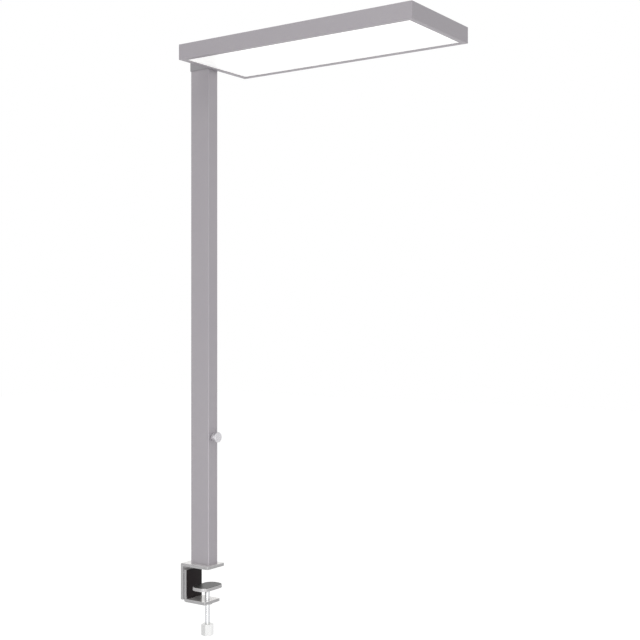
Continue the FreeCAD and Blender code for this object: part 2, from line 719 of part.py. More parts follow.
def turning_knob():
    """Six-sided knob with a round collar, bored for the screw's end and its fixing screw."""
    body = new_body("turning_knob")
    outline = sketch_on(body, "XY_Plane", "-grip_top")
    hexagon(outline, "grip_corners / 2")
    pad(body, outline, "grip_height", reverse=True)
    soften(body, "Chamfer", 0.6, at_height("-grip_top", "-grip_top - grip_height"))
    collar = sketch_on(body, "XY_Plane", "-grip_top")
    circle(collar, 0, 0, 13.6)
    pad(body, collar, 3.5)
    bore = sketch_on(body, "XY_Plane", "3.5 - grip_top")
    circle(bore, 0, 0, 10)
    pocket(body, bore, 23.5)
    clearance = sketch_on(body, "XY_Plane", "-grip_top - grip_height")
    circle(clearance, 0, 0, 5.4)
    pocket(body, clearance, 8, reverse=True)
    recess = sketch_on(body, "XY_Plane", "-grip_top - grip_height")
    circle(recess, 0, 0, 10)
    pocket(body, recess, 3.2, reverse=True)
    place(body, x="spindle_x", angle=GRIP_TURN)


def knob_screw():
    body, _ = socket_screw("knob_screw", 5, 14.7, 9.2, 2.8, False, 3)
    place(body, x="spindle_x", z="0.4 - grip_top - grip_height", axis=X_AXIS, angle=180)


# ---- head ----

def adapter_block():
    """Cast block on top of the mast: a hollow spigot inside the tube, and a flat face for the head."""
    body, _ = block("adapter_block", f"-mast_depth / 2 - {BLOCK_RIM}", "head_start",
                    f"-mast_width / 2 - {BLOCK_RIM}", f"mast_width / 2 + {BLOCK_RIM}", "head_bottom",
                    "head_height")
    soften(body, "Fillet", "mast_corner", along(Z_AXIS, x=f"mast_depth / 2 + {BLOCK_RIM}"))
    spigot = sketch_on(body, "XY_Plane", "head_bottom")
    rectangle(spigot, f"slip_gap - ({MAST_INSIDE_X})", f"{MAST_INSIDE_X} - slip_gap",
              f"slip_gap - ({MAST_INSIDE_Y})", f"{MAST_INSIDE_Y} - slip_gap")
    pad(body, spigot, 45, reverse=True)
    soften(body, "Fillet", 2, along(Z_AXIS, x=f"{MAST_INSIDE_X} - slip_gap"))
    riser = sketch_on(body, "XY_Plane", "head_bottom - 45")
    circle(riser, 0, 0, 18)
    pocket(body, riser, "45 + head_height / 2 + 7", reverse=True)
    outlet = sketch_on(body, "YZ_Plane", "head_start")
    circle(outlet, 0, HEAD_MIDDLE, 14)
    pocket(body, outlet, "head_start")
    tapped = sketch_on(body, "YZ_Plane", "head_start")
    for y in (-HEAD_BOLT_Y, HEAD_BOLT_Y):
        circle(tapped, y, HEAD_MIDDLE, HEAD_BOLT)
    pocket(body, tapped, 22)
    set_screw_holes(body, TOP_SET_LEVEL)
    soften(body, "Chamfer", 0.5, at_height(HEAD_TOP))


def head_bolts():
    """Screws from inside the head, through its end profile, into the adapter block."""
    body, features = socket_screw("head_bolts", HEAD_BOLT, 24, 10.5, 4, False, 4)
    row_of(body, features, "Y_Axis", 2 * HEAD_BOLT_Y, 2)
    place(body, x="head_start + profile_wall + 4", y=-HEAD_BOLT_Y, z=HEAD_MIDDLE, axis=Y_AXIS, angle=90)


def frame_profile(label, length, x, y, angle, screw_spots=(), bolted=False):
    """Mitred aluminium profile: outer wall, the lip below and a ledge for the cover near the top.

    In its own frame it runs along X from a mitred corner, with Y pointing into the head.
    """
    body = new_body(label)
    section = sketch_on(body, "YZ_Plane")
    ledge_top = "head_height - cover_sheet"
    ledge_bottom = f"{ledge_top} - {LEDGE_THICKNESS}"
    polygon(section, (
        (0, 0), ("lip", 0), ("lip", "profile_wall"), ("profile_wall", "profile_wall"),
        ("profile_wall", ledge_bottom), (LEDGE, ledge_bottom), (LEDGE, ledge_top),
        ("profile_wall", ledge_top), ("profile_wall", "head_height"), (0, "head_height")))
    pad(body, section, length)
    soften(body, "Fillet", 0.8, along(X_AXIS, y=0))
    mitres = sketch_on(body, "XY_Plane")
    polygon(mitres, ((0, 0), (0, "lip + 1"), ("lip + 1", "lip + 1")))
    polygon(mitres, ((length, 0), (length, "lip + 1"), (f"{length} - lip - 1", "lip + 1")))
    pocket(body, mitres, middle=True)
    if screw_spots:
        tapped = sketch_on(body, "XY_Plane", ledge_top)
        for spot in screw_spots:
            circle(tapped, spot, COVER_SCREW_EDGE, 3)
        pocket(body, tapped, LEDGE_THICKNESS + 0.5)
    if bolted:
        holes = sketch_on(body, "XZ_Plane")
        circle(holes, f"{length} / 2", "head_height / 2", 14)
        for side in (-HEAD_BOLT_Y, HEAD_BOLT_Y):
            circle(holes, f"{length} / 2 + ({side})", "head_height / 2", HEAD_BOLT + 0.4)
        pocket(body, holes, "profile_wall + 0.5")
    place(body, x=x, y=y, z="head_bottom", angle=angle)


def cover_screw_spots():
    span = f"(head_length - 2 * {COVER_SCREW_INSET}) / {COVER_SCREWS_PER_SIDE - 1}"
    return [f"{COVER_SCREW_INSET} + {index} * {span}" for index in range(COVER_SCREWS_PER_SIDE)]


def head_frame():
    half = "head_width / 2"
    spots = cover_screw_spots()
    frame_profile("head_profile_left", "head_length", "head_start", f"-{half}", 0, screw_spots=spots)
    frame_profile("head_profile_front", "head_width", HEAD_END, f"-{half}", 90)
    frame_profile("head_profile_right", "head_length", HEAD_END, half, 180, screw_spots=spots)
    frame_profile("head_profile_rear", "head_width", "head_start", half, 270, bolted=True)


def head_corner_keys():
    """Four L-shaped keys inside the mitred corners."""
    body = new_body("head_corner_keys")
    outlines = sketch_on(body, "XY_Plane", "head_bottom + 18")
    thickness = "profile_wall + 6"
    legs = (("profile_wall", "profile_wall"), (30, "profile_wall"), (30, thickness),
            (thickness, thickness), (thickness, 30), ("profile_wall", 30))
    for along_x in ("head_start + ({})", "head_start + head_length - ({})"):
        for along_y in ("({}) - head_width / 2", "head_width / 2 - ({})"):
            polygon(outlines, [(along_x.format(u), along_y.format(v)) for u, v in legs])
    pad(body, outlines, 10)


def head_top_cover():
    gap = "profile_wall + 0.3"
    body, _ = block("head_top_cover", f"head_start + {gap}", f"{HEAD_END} - ({gap})",
                    f"{gap} - head_width / 2", f"head_width / 2 - ({gap})", COVER_BOTTOM, "cover_sheet")
    holes = sketch_on(body, "XY_Plane", HEAD_TOP)
    for spot in cover_screw_spots():
        for y in (f"{COVER_SCREW_EDGE} - head_width / 2", f"head_width / 2 - {COVER_SCREW_EDGE}"):
            circle(holes, f"head_start + {spot}", y, 3.2)
    sunk_holes(body, holes, 3.2, 6)


def top_cover_screws():
    body, features = socket_screw("top_cover_screws", 3, 8, 5.8, 1.4, True, 2)
    span = f"head_length - 2 * {COVER_SCREW_INSET}"
    row_of(body, features, "X_Axis", span, COVER_SCREWS_PER_SIDE,
           ("Y_Axis", f"head_width - 2 * {COVER_SCREW_EDGE}", 2))
    place(body, x=f"head_start + {COVER_SCREW_INSET}", y=f"{COVER_SCREW_EDGE} - head_width / 2", z=HEAD_TOP)


def diffuser():
    """Opal sheet that lies on the frame's lips."""
    gap = "profile_wall + 1"
    block("diffuser", f"head_start + {gap}", f"{HEAD_END} - ({gap})", f"{gap} - head_width / 2",
          f"head_width / 2 - ({gap})", "head_bottom + profile_wall", "diffuser_sheet")


def reflector_tray():
    """White sheet pan, open downwards, with a hole for the strips' leads."""
    end = "head_start + head_length - 16"
    body, _ = block("reflector_tray", TRAY_START, end, f"-({TRAY_HALF_WIDTH})", TRAY_HALF_WIDTH,
                    TRAY_BOTTOM, "tray_height")
    hollow = sketch_on(body, "XY_Plane", TRAY_BOTTOM)
    rectangle(hollow, f"{TRAY_START} + {TRAY_SHEET}", f"{end} - {TRAY_SHEET}",
              f"{TRAY_SHEET} - ({TRAY_HALF_WIDTH})", f"{TRAY_HALF_WIDTH} - {TRAY_SHEET}")
    pocket(body, hollow, f"tray_height - {TRAY_SHEET}", reverse=True)
    holes = sketch_on(body, "XY_Plane", TRAY_TOP)
    circle(holes, DRIVER_START + 196, 22, 6)
    for x in DRIVER_SCREWS_X:
        circle(holes, x, 0, 3.4)
    pocket(body, holes, 2)


def led_boards():
    """Narrow circuit boards under the tray's roof."""
    half_run = (STRIP_COUNT - 1) * STRIP_PITCH / 2
    body, strip = block("led_boards", 60, 618, -half_run - 9, -half_run + 9,
                        f"{TRAY_TOP} - {TRAY_SHEET} - 1.6", 1.6)
    row_of(body, [strip], "Y_Axis", 2 * half_run, STRIP_COUNT)


def led_chips():
    half_run = (STRIP_COUNT - 1) * STRIP_PITCH / 2
    first = 79
    body, chip = block("led_chips", first - 1.5, first + 1.5, -half_run - 1.5, -half_run + 1.5,
                       f"{TRAY_TOP} - {TRAY_SHEET} - 2.3", 0.7)
    row_of(body, [chip], "X_Axis", (CHIP_COUNT - 1) * CHIP_PITCH, CHIP_COUNT,
           ("Y_Axis", 2 * half_run, STRIP_COUNT))


def led_driver():
    """Slim driver on the tray: a case on a footed base."""
    body, _ = block("led_driver", DRIVER_START, DRIVER_START + 180, -20, 20, TRAY_TOP, 1.5)
    case = sketch_on(body, "XY_Plane", f"{TRAY_TOP} + 1.5")
    rectangle(case, DRIVER_START + 15, DRIVER_START + 165, -18, 18)
    pad(body, case, 9.5)
    soften(body, "Fillet", 1, at_height(f"{TRAY_TOP} + 11"))
    holes = sketch_on(body, "XY_Plane")
    for x in DRIVER_SCREWS_X:
        circle(holes, x, 0, 3.6)
    pocket(body, holes, middle=True)


def driver_screws():
    body, features = socket_screw("driver_screws", 3.4, 4.6, 7, 2.2, False, 2)
    row_of(body, features, "X_Axis", DRIVER_SCREWS_X[1] - DRIVER_SCREWS_X[0], 2)
    place(body, x=DRIVER_SCREWS_X[0], z=f"{TRAY_TOP} + 3.7")


def terminal_block():
    body, _ = block("terminal_block", 64, 84, -14, 14, TRAY_TOP, 9)
    soften(body, "Chamfer", 0.8, at_height(f"{TRAY_TOP} + 9"))


def cables():
    """Supply cable and dimmer lead up the mast, then the short runs from terminals to driver and strips."""
    middle = size(HEAD_MIDDLE)
    over_tray = size(TRAY_TOP) + 4.5
    inlet = size("inlet_level")
    level = size("dimmer_level")
    tube_along("mast_cable", (
        (-12, -3, inlet), (0, -3, inlet), (0, -3, middle), (34, -3, middle), (46, -3, over_tray),
        (64, -3, over_tray)), 8, CABLE)
    board_back = size(MAST_INSIDE_X) - 9.6
    tube_along("dimmer_lead", (
        (board_back, 4.5, level + 6), (4.5, 4.5, level + 6), (4.5, 4.5, middle), (34, 4.5, middle),
        (46, 4.5, over_tray), (64, 4.5, over_tray)), 5, LEAD)
    tube_along("driver_lead", ((84, 9, over_tray), (DRIVER_START + 15, 9, over_tray)), 5, LEAD)
    lead_x = DRIVER_START + 196
    tube_along("strip_lead", (
        (DRIVER_START + 165, 10, over_tray), (lead_x - 12, 10, over_tray), (lead_x, 22, over_tray),
        (lead_x, 22, size(TRAY_TOP) - 1.6)), 2.2, LEAD)


def build():
    upper_jaw_bracket()
    upper_jaw_pad()
    mast_tube()
    mast_foot_plug()
    mast_foot_screws()
    set_screws("foot_set_screws", FOOT_SET_LEVEL)
    power_inlet()
    inlet_pin()
    hex_nut("inlet_nut", 15, 12, f"{MAST_INSIDE_X} - 3", 3, "inlet_level", -90)
    encoder_body()
    encoder_board()
    encoder_washer()
    hex_nut("encoder_nut", 12, 9, "mast_depth / 2 + 0.5", 2, "dimmer_level", 90)
    switch_plunger()
    encoder_shaft()
    dimmer_knob()
    knob_set_screw()
    lower_jaw_bracket()
    jaw_liner()
    jaw_washers()
    jaw_screws()
    spindle_bush()
    pressure_plate()
    pressure_pad()
    plate_set_screws()
    clamp_spindle()
    turning_knob()
    knob_screw()
    adapter_block()
    set_screws("adapter_set_screws", TOP_SET_LEVEL)
    head_bolts()
    head_frame()
    head_corner_keys()
    head_top_cover()
    top_cover_screws()
    diffuser()
    reflector_tray()
    led_boards()
    led_chips()
    led_driver()
    driver_screws()
    terminal_block()
    cables()
    doc.recompute()


def check_and_write():
    """Refuse any failed object, then write one file for each sub-part."""
    for item in doc.Objects:
        if "Invalid" in item.State or "Error" in item.State:
            raise RuntimeError(f"{item.Label} failed: {item.State}")
    for node in nodes:
        if node.Shape.isNull() or not node.Shape.isValid():
            raise RuntimeError(f"{node.Label} has no valid shape")
    os.makedirs("parts", exist_ok=True)
    for node in nodes:
        node.Shape.exportStep(f"parts/{node.Label}.step")
    print(len(nodes), "sub-parts written")


build()
check_and_write()
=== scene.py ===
import json
import math

import bmesh
import bpy
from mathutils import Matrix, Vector


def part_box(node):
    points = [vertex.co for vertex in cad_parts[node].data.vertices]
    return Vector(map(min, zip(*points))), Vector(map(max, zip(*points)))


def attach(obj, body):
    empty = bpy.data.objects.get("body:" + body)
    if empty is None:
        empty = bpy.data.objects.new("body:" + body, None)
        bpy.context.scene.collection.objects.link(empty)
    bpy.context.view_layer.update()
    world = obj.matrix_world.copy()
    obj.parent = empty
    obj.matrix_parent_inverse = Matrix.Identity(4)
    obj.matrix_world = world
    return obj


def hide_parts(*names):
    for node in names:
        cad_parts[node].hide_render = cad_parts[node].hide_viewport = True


# A clamp-on office lamp: a flat light head on a tall mast, with a screw clamp for the desk's edge.

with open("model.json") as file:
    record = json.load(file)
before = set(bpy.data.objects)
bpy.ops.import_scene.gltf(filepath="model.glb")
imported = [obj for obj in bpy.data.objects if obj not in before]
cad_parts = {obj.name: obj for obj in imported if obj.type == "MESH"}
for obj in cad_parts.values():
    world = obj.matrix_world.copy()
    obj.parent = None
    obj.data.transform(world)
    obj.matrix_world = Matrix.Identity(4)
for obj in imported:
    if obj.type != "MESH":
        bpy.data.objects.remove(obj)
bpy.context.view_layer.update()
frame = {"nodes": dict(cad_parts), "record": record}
MM = 0.001


# ---- colours and nodes ----

def srgb(code):
    """The linear colour of an sRGB hex code such as #A6A1A5."""
    parts = [int(code[i:i + 2], 16) / 255 for i in (1, 3, 5)]
    return [p / 12.92 if p <= 0.04045 else ((p + 0.055) / 1.055) ** 2.4 for p in parts] + [1.0]


def per_metre(millimetres):
    """The noise scale whose pattern repeats about every so many millimetres."""
    return 1 / (millimetres * MM)


def add(tree, kind, settings=None, links=None):
    """Adds one node. Sockets are named with a capital or by number, and the node's own properties are not."""
    node = tree.nodes.new(kind)
    for name, value in (settings or {}).items():
        if isinstance(name, int) or name[0].isupper():
            node.inputs[name].default_value = value
        else:
            setattr(node, name, value)
    for name, source in (links or {}).items():
        tree.links.new(source, node.inputs[name])
    return node


def new_finish(name):
    """An empty material, its node tree, and the socket of positions in the object's own metres."""
    material = bpy.data.materials.new(name)
    material.use_nodes = True
    tree = material.node_tree
    tree.nodes.clear()
    place = add(tree, "ShaderNodeTexCoord")
    return material, tree, place.outputs["Object"]


MIX_COLOURS = {"data_type": "RGBA"}
MIX_FIRST, MIX_SECOND, MIXED = 6, 7, 2


# ---- finishes ----

def satin_silver_powder_coat():
    """Aluminium extrusions under a silver polyester powder, baked on.

    The powder flows into a faint orange peel with a fine metal flake in it, so the faces look
    evenly grey and a little dull, and only the rounded edges catch a line of light.
    """
    material, tree, here = new_finish("satin_silver_powder_coat")
    flake = add(tree, "ShaderNodeTexNoise", {"Scale": per_metre(0.7), "Detail": 2.0}, {"Vector": here})
    cloud = add(tree, "ShaderNodeTexNoise", {"Scale": per_metre(90), "Detail": 3.0}, {"Vector": here})
    peel = add(tree, "ShaderNodeTexNoise", {"Scale": per_metre(2.2), "Detail": 1.0}, {"Vector": here})
    speck = add(tree, "ShaderNodeMix",
                {**MIX_COLOURS, MIX_FIRST: srgb("#97939A"), MIX_SECOND: srgb("#B3AEB2")},
                {"Factor": flake.outputs["Fac"]})
    drift = add(tree, "ShaderNodeMapRange", {"From Min": 0.3, "From Max": 0.7, "To Min": 0.0, "To Max": 0.3},
                {"Value": cloud.outputs["Fac"]})
    tone = add(tree, "ShaderNodeMix", {**MIX_COLOURS, MIX_SECOND: srgb("#ABA7AA")},
               {"Factor": drift.outputs["Result"], MIX_FIRST: speck.outputs[MIXED]})
    gloss = add(tree, "ShaderNodeMapRange", {"To Min": 0.42, "To Max": 0.54}, {"Value": peel.outputs["Fac"]})
    relief = add(tree, "ShaderNodeBump", {"Strength": 0.12, "Distance": 0.05 * MM},
                 {"Height": peel.outputs["Fac"]})
    shader = add(tree, "ShaderNodeBsdfPrincipled", {"Metallic": 0.35, "IOR": 1.5},
                 {"Base Color": tone.outputs[MIXED], "Roughness": gloss.outputs["Result"],
                  "Normal": relief.outputs["Normal"]})
    add(tree, "ShaderNodeOutputMaterial", links={"Surface": shader.outputs["BSDF"]})
    return material


def polished_steel_painted_top_light():
    """Steel plate, blasted satin all over and then polished on its level faces, under clear nickel.

    The level faces are a mirror, a little clouded by hand polish, and every upright face and edge
    stays a soft grey with the fine lines that the saw and the blast leave. On top of that real change
    in polish, the base colour is painted by which way a face points: a painted highlight, a much
    brighter tone, on the level faces, and painted shade, a darker grey, on the upright faces.
    """
    material, tree, here = new_finish("polished_steel_painted_top_light")
    shape = add(tree, "ShaderNodeNewGeometry")
    facing = add(tree, "ShaderNodeVectorMath", {"operation": "ABSOLUTE"}, {0: shape.outputs["True Normal"]})
    sides = add(tree, "ShaderNodeSeparateXYZ", links={"Vector": facing.outputs["Vector"]})
    # Mask of upright faces: it gives the real blasted roughness and saw-line bump, and also painted shade, a
    # darker base grey, in the colour.
    upright_blast_and_shade_mask = add(tree, "ShaderNodeMapRange", {"From Min": 0.8, "From Max": 0.6},
                  {"Value": sides.outputs["Z"]})
    saw = add(tree, "ShaderNodeMapping", {"Scale": (per_metre(0.5), per_metre(0.5), per_metre(9))},
              {"Vector": here})
    lines = add(tree, "ShaderNodeTexNoise", {"Scale": 1.0, "Detail": 3.0}, {"Vector": saw.outputs["Vector"]})
    smear = add(tree, "ShaderNodeTexNoise", {"Scale": per_metre(7), "Detail": 4.0}, {"Vector": here})
    saw_grey_and_painted_shade = add(tree, "ShaderNodeMix",
               {**MIX_COLOURS, MIX_FIRST: srgb("#A9A8A9"), MIX_SECOND: srgb("#B9B8B9")},
               {"Factor": lines.outputs["Fac"]})
    # Painted highlight: the level faces get a much brighter base tone than the upright faces.
    polish_and_painted_highlight = add(tree, "ShaderNodeMix",
                 {**MIX_COLOURS, MIX_FIRST: srgb("#E6E4E3"), MIX_SECOND: srgb("#F1EFED")},
                 {"Factor": smear.outputs["Fac"]})
    tone = add(tree, "ShaderNodeMix", MIX_COLOURS,
               {"Factor": upright_blast_and_shade_mask.outputs["Result"], MIX_FIRST: polish_and_painted_highlight.outputs[MIXED],
                MIX_SECOND: saw_grey_and_painted_shade.outputs[MIXED]})
    polish = add(tree, "ShaderNodeMapRange", {"To Min": 0.05, "To Max": 0.16},
                 {"Value": smear.outputs["Fac"]})
    dull = add(tree, "ShaderNodeMath", {"operation": "MULTIPLY", 1: 0.4}, {0: upright_blast_and_shade_mask.outputs["Result"]})
    rough = add(tree, "ShaderNodeMath", {"operation": "ADD"},
                {0: polish.outputs["Result"], 1: dull.outputs["Value"]})
    depth = add(tree, "ShaderNodeMath", {"operation": "MULTIPLY"},
                {0: lines.outputs["Fac"], 1: upright_blast_and_shade_mask.outputs["Result"]})
    relief = add(tree, "ShaderNodeBump", {"Strength": 0.2, "Distance": 0.05 * MM},
                 {"Height": depth.outputs["Value"]})
    shader = add(tree, "ShaderNodeBsdfPrincipled", {"Metallic": 0.62},
                 {"Base Color": tone.outputs[MIXED], "Roughness": rough.outputs["Value"],
                  "Normal": relief.outputs["Normal"]})
    add(tree, "ShaderNodeOutputMaterial", links={"Surface": shader.outputs["BSDF"]})
    return material


def bright_chrome():
    """Ground steel under decorative chrome: a hard mirror, broken only by faint rings from the grinder."""
    material, tree, here = new_finish("bright_chrome")
    rings = add(tree, "ShaderNodeMapping", {"Scale": (per_metre(12), per_metre(12), per_metre(0.4))},
                {"Vector": here})
    grind = add(tree, "ShaderNodeTexNoise", {"Scale": 1.0, "Detail": 2.0},
                {"Vector": rings.outputs["Vector"]})
    tone = add(tree, "ShaderNodeMix",
               {**MIX_COLOURS, MIX_FIRST: srgb("#D8D9DB"), MIX_SECOND: srgb("#E3E3E5")},
               {"Factor": grind.outputs["Fac"]})
    gloss = add(tree, "ShaderNodeMapRange", {"To Min": 0.04, "To Max": 0.12}, {"Value": grind.outputs["Fac"]})
    shader = add(tree, "ShaderNodeBsdfPrincipled", {"Metallic": 1.0},
                 {"Base Color": tone.outputs[MIXED], "Roughness": gloss.outputs["Result"]})
    add(tree, "ShaderNodeOutputMaterial", links={"Surface": shader.outputs["BSDF"]})
    return material


def zinc_plated_steel():
    """Pressed and turned steel fasteners under clear zinc: a grey metal with a faint blue and straw bloom."""
    material, tree, here = new_finish("zinc_plated_steel")
    bloom = add(tree, "ShaderNodeTexNoise", {"Scale": per_metre(5), "Detail": 3.0}, {"Vector": here})
    crystal = add(tree, "ShaderNodeTexVoronoi", {"Scale": per_metre(0.6)}, {"Vector": here})
    tone = add(tree, "ShaderNodeMix",
               {**MIX_COLOURS, MIX_FIRST: srgb("#AEB4BC"), MIX_SECOND: srgb("#C6C2B4")},
               {"Factor": bloom.outputs["Fac"]})
    gloss = add(tree, "ShaderNodeMapRange", {"To Min": 0.25, "To Max": 0.42},
                {"Value": crystal.outputs["Distance"]})
    shader = add(tree, "ShaderNodeBsdfPrincipled", {"Metallic": 1.0},
                 {"Base Color": tone.outputs[MIXED], "Roughness": gloss.outputs["Result"]})
    add(tree, "ShaderNodeOutputMaterial", links={"Surface": shader.outputs["BSDF"]})
    return material


def moulded_nitrile_rubber():
    """Dark rubber sheet moulded against a blasted tool: a soft black that goes grey at a low angle."""
    material, tree, here = new_finish("moulded_nitrile_rubber")
    grain = add(tree, "ShaderNodeTexNoise", {"Scale": per_metre(0.8), "Detail": 3.0}, {"Vector": here})
    dust = add(tree, "ShaderNodeTexNoise", {"Scale": per_metre(14), "Detail": 3.0}, {"Vector": here})
    tone = add(tree, "ShaderNodeMix",
               {**MIX_COLOURS, MIX_FIRST: srgb("#262627"), MIX_SECOND: srgb("#3B3B3A")},
               {"Factor": dust.outputs["Fac"]})
    rough = add(tree, "ShaderNodeMapRange", {"To Min": 0.28, "To Max": 0.42}, {"Value": grain.outputs["Fac"]})
    relief = add(tree, "ShaderNodeBump", {"Strength": 0.5, "Distance": 0.08 * MM},
                 {"Height": grain.outputs["Fac"]})
    shader = add(tree, "ShaderNodeBsdfPrincipled", {"Metallic": 0.0, "IOR": 1.52},
                 {"Base Color": tone.outputs[MIXED], "Roughness": rough.outputs["Result"],
                  "Normal": relief.outputs["Normal"]})
    add(tree, "ShaderNodeOutputMaterial", links={"Surface": shader.outputs["BSDF"]})
    return material


def embossed_black_pvc():
    """Black PVC liner with a fine pebble embossed by the calender: nearly black, with a dull skin."""
    material, tree, here = new_finish("embossed_black_pvc")
    pebble = add(tree, "ShaderNodeTexVoronoi", {"Scale": per_metre(1.6), "feature": "SMOOTH_F1"},
                 {"Vector": here})
    scuff = add(tree, "ShaderNodeTexNoise", {"Scale": per_metre(11), "Detail": 4.0}, {"Vector": here})
    tone = add(tree, "ShaderNodeMix",
               {**MIX_COLOURS, MIX_FIRST: srgb("#140D0F"), MIX_SECOND: srgb("#1F1619")},
               {"Factor": scuff.outputs["Fac"]})
    rough = add(tree, "ShaderNodeMapRange", {"To Min": 0.5, "To Max": 0.7}, {"Value": scuff.outputs["Fac"]})
    relief = add(tree, "ShaderNodeBump", {"Strength": 0.4, "Distance": 0.1 * MM},
                 {"Height": pebble.outputs["Distance"]})
    shader = add(tree, "ShaderNodeBsdfPrincipled",
                 {"Metallic": 0.0, "IOR": 1.53, "Specular IOR Level": 0.2},
                 {"Base Color": tone.outputs[MIXED], "Roughness": rough.outputs["Result"],
                  "Normal": relief.outputs["Normal"]})
    add(tree, "ShaderNodeOutputMaterial", links={"Surface": shader.outputs["BSDF"]})
    return material


def lit_opal_acrylic():
    """Extruded opal acrylic, lit from behind: an even white glow under a satin skin with a faint haze."""
    material, tree, here = new_finish("lit_opal_acrylic")
    haze = add(tree, "ShaderNodeTexNoise", {"Scale": per_metre(35), "Detail": 2.0}, {"Vector": here})
    skin = add(tree, "ShaderNodeTexNoise", {"Scale": per_metre(1.2), "Detail": 2.0}, {"Vector": here})
    tone = add(tree, "ShaderNodeMix",
               {**MIX_COLOURS, MIX_FIRST: srgb("#F6F6F4"), MIX_SECOND: srgb("#FFFFFF")},
               {"Factor": haze.outputs["Fac"]})
    relief = add(tree, "ShaderNodeBump", {"Strength": 0.1, "Distance": 0.03 * MM},
                 {"Height": skin.outputs["Fac"]})
    shader = add(tree, "ShaderNodeBsdfPrincipled",
                 {"Metallic": 0.0, "IOR": 1.49, "Roughness": 0.35, "Emission Strength": 0.3},
                 {"Base Color": tone.outputs[MIXED], "Emission Color": tone.outputs[MIXED],
                  "Normal": relief.outputs["Normal"]})
    add(tree, "ShaderNodeOutputMaterial", links={"Surface": shader.outputs["BSDF"]})
    return material


def turned_aluminium():
    """Aluminium bar turned on a lathe and clear-anodised: pale, with feed rings on its end."""
    material, tree, here = new_finish("turned_aluminium")
    low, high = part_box("dimmer_knob")
    centre = (low + high) / 2
    on_axis = add(tree, "ShaderNodeMapping", {"Location": (0, -centre.y, -centre.z)}, {"Vector": here})
    feed = add(tree, "ShaderNodeTexWave",
               {"wave_type": "RINGS", "rings_direction": "X", "Scale": per_metre(0.5) / math.tau,
                "Distortion": 0.3, "Detail": 1.0}, {"Vector": on_axis.outputs["Vector"]})
    bloom = add(tree, "ShaderNodeTexNoise", {"Scale": per_metre(4), "Detail": 2.0}, {"Vector": here})
    tone = add(tree, "ShaderNodeMix",
               {**MIX_COLOURS, MIX_FIRST: srgb("#CDCBCF"), MIX_SECOND: srgb("#D8D6D9")},
               {"Factor": bloom.outputs["Fac"]})
    rough = add(tree, "ShaderNodeMapRange", {"To Min": 0.22, "To Max": 0.34}, {"Value": feed.outputs["Fac"]})
    relief = add(tree, "ShaderNodeBump", {"Strength": 0.25, "Distance": 0.02 * MM},
                 {"Height": feed.outputs["Fac"]})
    shader = add(tree, "ShaderNodeBsdfPrincipled", {"Metallic": 0.6},
                 {"Base Color": tone.outputs[MIXED], "Roughness": rough.outputs["Result"],
                  "Normal": relief.outputs["Normal"]})
    add(tree, "ShaderNodeOutputMaterial", links={"Surface": shader.outputs["BSDF"]})
    return material


def blasted_anodised_aluminium():
    """Hexagon bar, bead-blasted fine and clear-anodised: a pale grey with a soft sheen on each flat."""
    material, tree, here = new_finish("blasted_anodised_aluminium")
    bead = add(tree, "ShaderNodeTexNoise", {"Scale": per_metre(0.4), "Detail": 2.0}, {"Vector": here})
    wear = add(tree, "ShaderNodeTexNoise", {"Scale": per_metre(9), "Detail": 3.0}, {"Vector": here})
    tone = add(tree, "ShaderNodeMix",
               {**MIX_COLOURS, MIX_FIRST: srgb("#DBDBDB"), MIX_SECOND: srgb("#E3E3E2")},
               {"Factor": wear.outputs["Fac"]})
    rough = add(tree, "ShaderNodeMapRange", {"To Min": 0.14, "To Max": 0.24}, {"Value": bead.outputs["Fac"]})
    relief = add(tree, "ShaderNodeBump", {"Strength": 0.1, "Distance": 0.02 * MM},
                 {"Height": bead.outputs["Fac"]})
    shader = add(tree, "ShaderNodeBsdfPrincipled", {"Metallic": 1.0},
                 {"Base Color": tone.outputs[MIXED], "Roughness": rough.outputs["Result"],
                  "Normal": relief.outputs["Normal"]})
    add(tree, "ShaderNodeOutputMaterial", links={"Surface": shader.outputs["BSDF"]})
    return material


def sand_cast_aluminium():
    """Sand-cast aluminium, shot-blasted and left bare: a plain grey with a coarse grain."""
    material, tree, here = new_finish("sand_cast_aluminium")
    skin = add(tree, "ShaderNodeTexNoise", {"Scale": per_metre(1.1), "Detail": 5.0}, {"Vector": here})
    tone = add(tree, "ShaderNodeMix",
               {**MIX_COLOURS, MIX_FIRST: srgb("#88868A"), MIX_SECOND: srgb("#A5A3A6")},
               {"Factor": skin.outputs["Fac"]})
    rough = add(tree, "ShaderNodeMapRange", {"To Min": 0.45, "To Max": 0.65}, {"Value": skin.outputs["Fac"]})
    relief = add(tree, "ShaderNodeBump", {"Strength": 0.5, "Distance": 0.1 * MM},
                 {"Height": skin.outputs["Fac"]})
    shader = add(tree, "ShaderNodeBsdfPrincipled", {"Metallic": 0.6},
                 {"Base Color": tone.outputs[MIXED], "Roughness": rough.outputs["Result"],
                  "Normal": relief.outputs["Normal"]})
    add(tree, "ShaderNodeOutputMaterial", links={"Surface": shader.outputs["BSDF"]})
    return material


def white_baked_enamel():
    """Steel sheet under white baked enamel: glossy, with the slow ripple of paint that levelled itself."""
    material, tree, here = new_finish("white_baked_enamel")
    ripple = add(tree, "ShaderNodeTexNoise", {"Scale": per_metre(6), "Detail": 1.0}, {"Vector": here})
    tone = add(tree, "ShaderNodeMix",
               {**MIX_COLOURS, MIX_FIRST: srgb("#EFEFEC"), MIX_SECOND: srgb("#F8F8F6")},
               {"Factor": ripple.outputs["Fac"]})
    relief = add(tree, "ShaderNodeBump", {"Strength": 0.1, "Distance": 0.1 * MM},
                 {"Height": ripple.outputs["Fac"]})
    shader = add(tree, "ShaderNodeBsdfPrincipled", {"Metallic": 0.0, "IOR": 1.5, "Roughness": 0.25},
                 {"Base Color": tone.outputs[MIXED], "Normal": relief.outputs["Normal"]})
    add(tree, "ShaderNodeOutputMaterial", links={"Surface": shader.outputs["BSDF"]})
    return material


